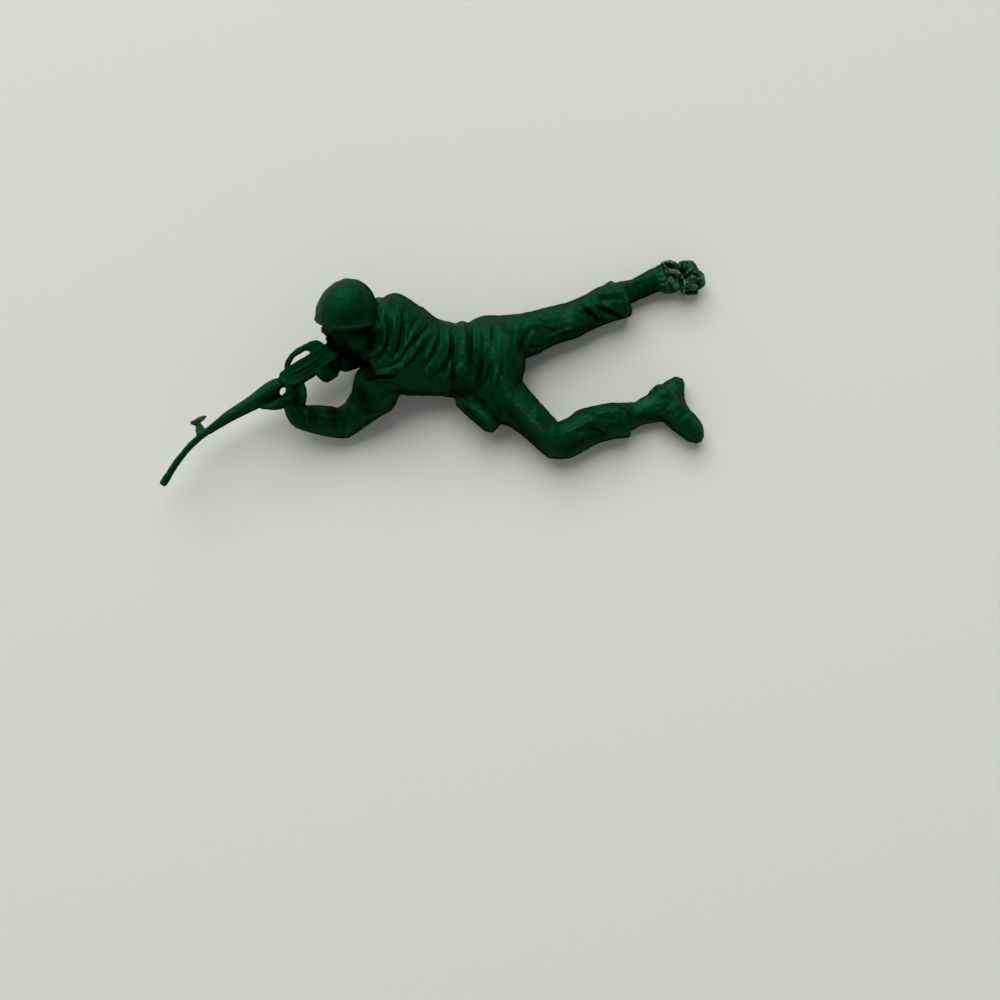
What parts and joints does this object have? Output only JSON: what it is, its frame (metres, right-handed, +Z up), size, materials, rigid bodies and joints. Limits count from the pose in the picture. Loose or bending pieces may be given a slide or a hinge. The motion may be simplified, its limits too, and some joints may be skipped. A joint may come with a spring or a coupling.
{
  "type": "toy soldier figure",
  "caption": "Prone toy rifleman in soft green plastic, propped on the elbows and aiming a rifle, with helmet, belt, hip pouch, boots and a torn foot.",
  "frame": {"origin": "on the ground under the middle of the hips, in the flat land on the belly side of the seat", "axes": "+X to the feet along the spine, +Y to the soldier's right, +Z up from the ground"},
  "size_m": [0.076, 0.0318, 0.0126],
  "materials": {
    "plastic": "satin moulded polyethylene, dark green",
    "stressed_plastic": "stress-whitened polyethylene, pale green"
  },
  "bodies": {
    "root": {"helmet": "plastic", "head": "plastic", "collar": "plastic", "jacket": "plastic", "belt": "plastic", "belt_stud": "plastic", "seat": "plastic", "pouch": "plastic", "pouch_flap": "plastic", "left_thigh": "plastic", "left_trouser_leg": "plastic", "left_boot": "plastic", "right_thigh": "plastic", "right_trouser_leg": "plastic", "right_boot": "plastic", "torn_foot": "stressed_plastic", "left_upper_sleeve": "plastic", "left_lower_sleeve": "plastic", "left_hand": "plastic", "right_upper_sleeve": "plastic", "right_lower_sleeve": "plastic", "right_hand": "plastic", "rifle_stock": "plastic", "rifle_receiver": "plastic", "carry_handle": "plastic", "rifle_magazine": "plastic", "pistol_grip": "plastic", "handguard": "plastic", "barrel": "plastic", "muzzle": "plastic", "front_sight": "stressed_plastic"}
  },
  "joints": []
}
